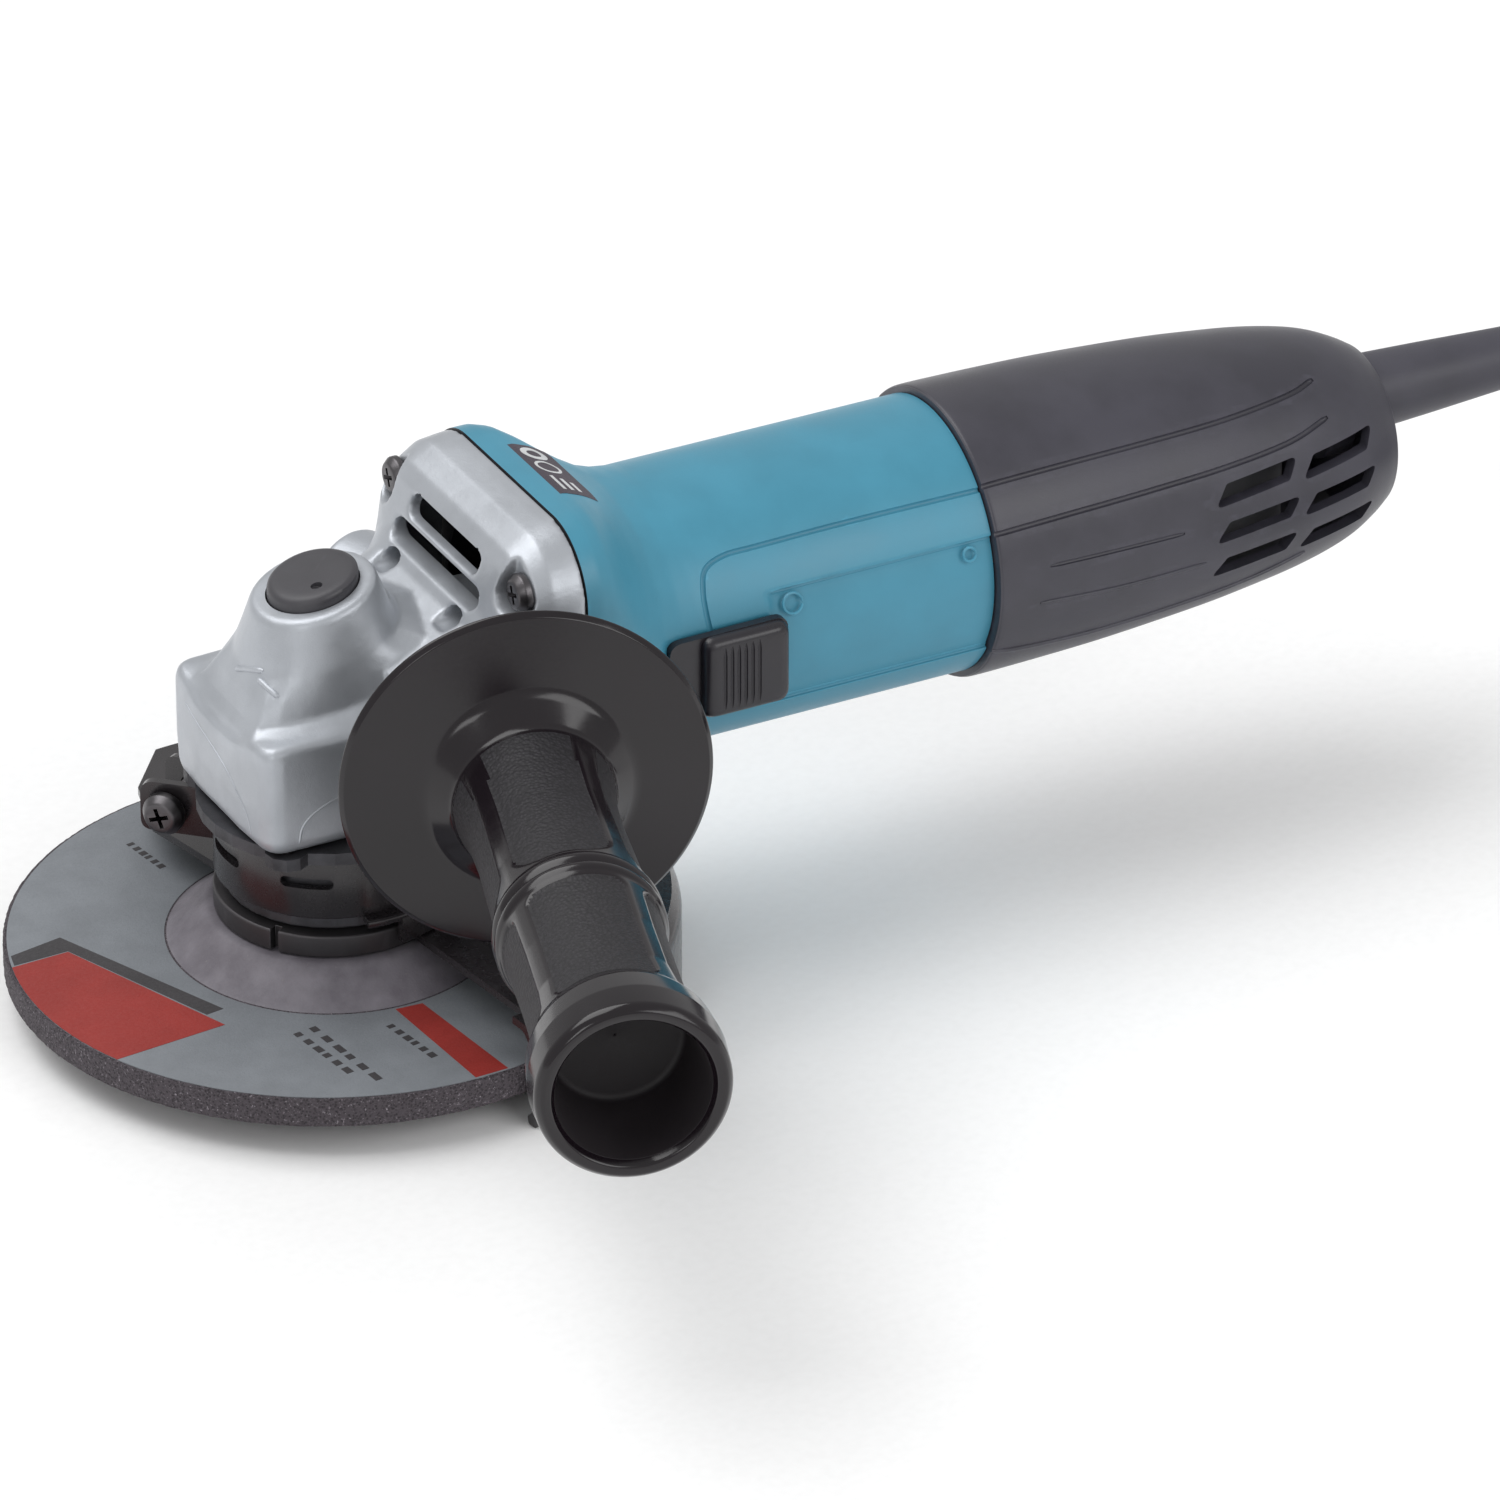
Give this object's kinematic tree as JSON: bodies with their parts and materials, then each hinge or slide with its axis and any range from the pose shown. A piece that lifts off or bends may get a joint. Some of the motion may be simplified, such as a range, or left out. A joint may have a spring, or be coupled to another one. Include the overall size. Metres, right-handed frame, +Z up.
{
  "type": "angle grinder",
  "caption": "Corded angle grinder with bevel gear head, clamp-on wheel guard, abrasive disc, side handle, slide switch and coiled mains lead with plug.",
  "frame": {"origin": "centre of the end face of the spindle, level with the lower face of the grinding disc", "axes": "+Z up along the spindle axis, +X back along the motor towards the mains lead, side handle and slide switch on the -Y side"},
  "size_m": [0.5351, 0.2295, 0.1006],
  "materials": {
    "cast_alloy": "satin",
    "teal_shell": "satin",
    "dark_shell": "satin",
    "handle_black": "gloss",
    "knob_black": "gloss",
    "button_black": "satin",
    "black_steel": "satin",
    "machined_steel": "satin",
    "dark_steel": "satin",
    "screw_steel": "satin",
    "spring_steel": "satin",
    "lamination": "matte",
    "abrasive": "rough",
    "winding_copper": "satin",
    "commutator_copper": "polished",
    "brush_brass": "satin",
    "bush_bronze": "satin",
    "carbon": "matte",
    "black_nylon": "satin",
    "fan_nylon": "satin",
    "switch_cream": "satin",
    "capacitor_case": "gloss",
    "black_rubber": "matte",
    "cord_rubber": "matte",
    "plug_rubber": "satin",
    "tie_nylon": "satin",
    "pin_nickel": "polished"
  },
  "bodies": {
    "grinder_body": {"spindle_bearing": "machined_steel", "spindle_top_bush": "bush_bronze", "gear_housing": "cast_alloy", "housing_screw_1": "screw_steel", "housing_screw_2": "screw_steel", "housing_screw_3": "screw_steel", "housing_screw_4": "screw_steel", "bearing_box": "cast_alloy", "lock_spring": "spring_steel", "front_ball_bearing": "machined_steel", "rear_ball_bearing": "machined_steel", "stator_core": "lamination", "field_coil_top": "winding_copper", "field_coil_bottom": "winding_copper", "fan_baffle": "black_nylon", "brush_holder_top": "brush_brass", "brush_holder_bottom": "brush_brass", "carbon_brush_top": "carbon", "carbon_brush_bottom": "carbon", "brush_spring_top": "spring_steel", "brush_spring_bottom": "spring_steel", "motor_housing": "teal_shell", "rear_cover": "dark_shell", "bearing_bridge": "black_nylon", "switch_body": "switch_cream", "noise_capacitor": "capacitor_case", "side_handle": "handle_black", "handle_stud": "machined_steel", "cord_guard": "black_rubber", "inner_lead": "cord_rubber", "cord_clamp": "black_nylon", "cord_run": "cord_rubber", "cord_tail": "cord_rubber", "cord_coil": "cord_rubber", "cord_tie": "tie_nylon", "plug": "plug_rubber", "plug_pin_1": "pin_nickel", "plug_pin_2": "pin_nickel"},
    "spindle_group": {"spindle": "machined_steel", "inner_flange": "dark_steel", "lock_nut": "dark_steel", "grinding_disc": "abrasive", "large_bevel_gear": "dark_steel", "gear_snap_ring": "spring_steel"},
    "armature_group": {"armature_shaft": "machined_steel", "armature_core": "lamination", "armature_winding_front": "winding_copper", "armature_winding_rear": "winding_copper", "commutator": "commutator_copper", "cooling_fan": "fan_nylon", "pinion_gear": "dark_steel", "pinion_nut": "screw_steel"},
    "guard_group": {"wheel_guard": "black_steel", "guard_collar": "black_steel", "guard_clamp_screw": "screw_steel", "guard_clamp_nut": "screw_steel"},
    "lock_group": {"lock_button": "button_black", "lock_pin": "machined_steel"},
    "switch_group": {"switch_knob": "knob_black", "switch_rod": "black_nylon"}
  },
  "joints": [
    {"name": "spindle_spin", "type": "hinge", "parent": "grinder_body", "child": "spindle_group", "pos_m": [0, 0, 0], "axis": [0, 0, 1], "continuous": true},
    {"name": "armature_spin", "type": "hinge", "parent": "grinder_body", "child": "armature_group", "pos_m": [0, 0, 0.059], "axis": [1, 0, 0], "continuous": true},
    {"name": "guard_turn", "type": "hinge", "parent": "grinder_body", "child": "guard_group", "pos_m": [0, 0, 0.027], "axis": [0, 0, 1], "range_deg": [-50, 150]},
    {"name": "lock_press", "type": "slide", "parent": "grinder_body", "child": "lock_group", "axis": [0, 0, -1], "range_m": [0, 0.0035], "stiffness_N_per_m": 400, "springref_m": -0.002, "deforming": ["lock_spring"]},
    {"name": "switch_slide", "type": "slide", "parent": "grinder_body", "child": "switch_group", "axis": [-1, 0, 0], "range_m": [0, 0.007]}
  ],
  "couplings": [
    {"joint": "armature_spin", "follows": "spindle_spin", "ratio": 3.3636}
  ]
}
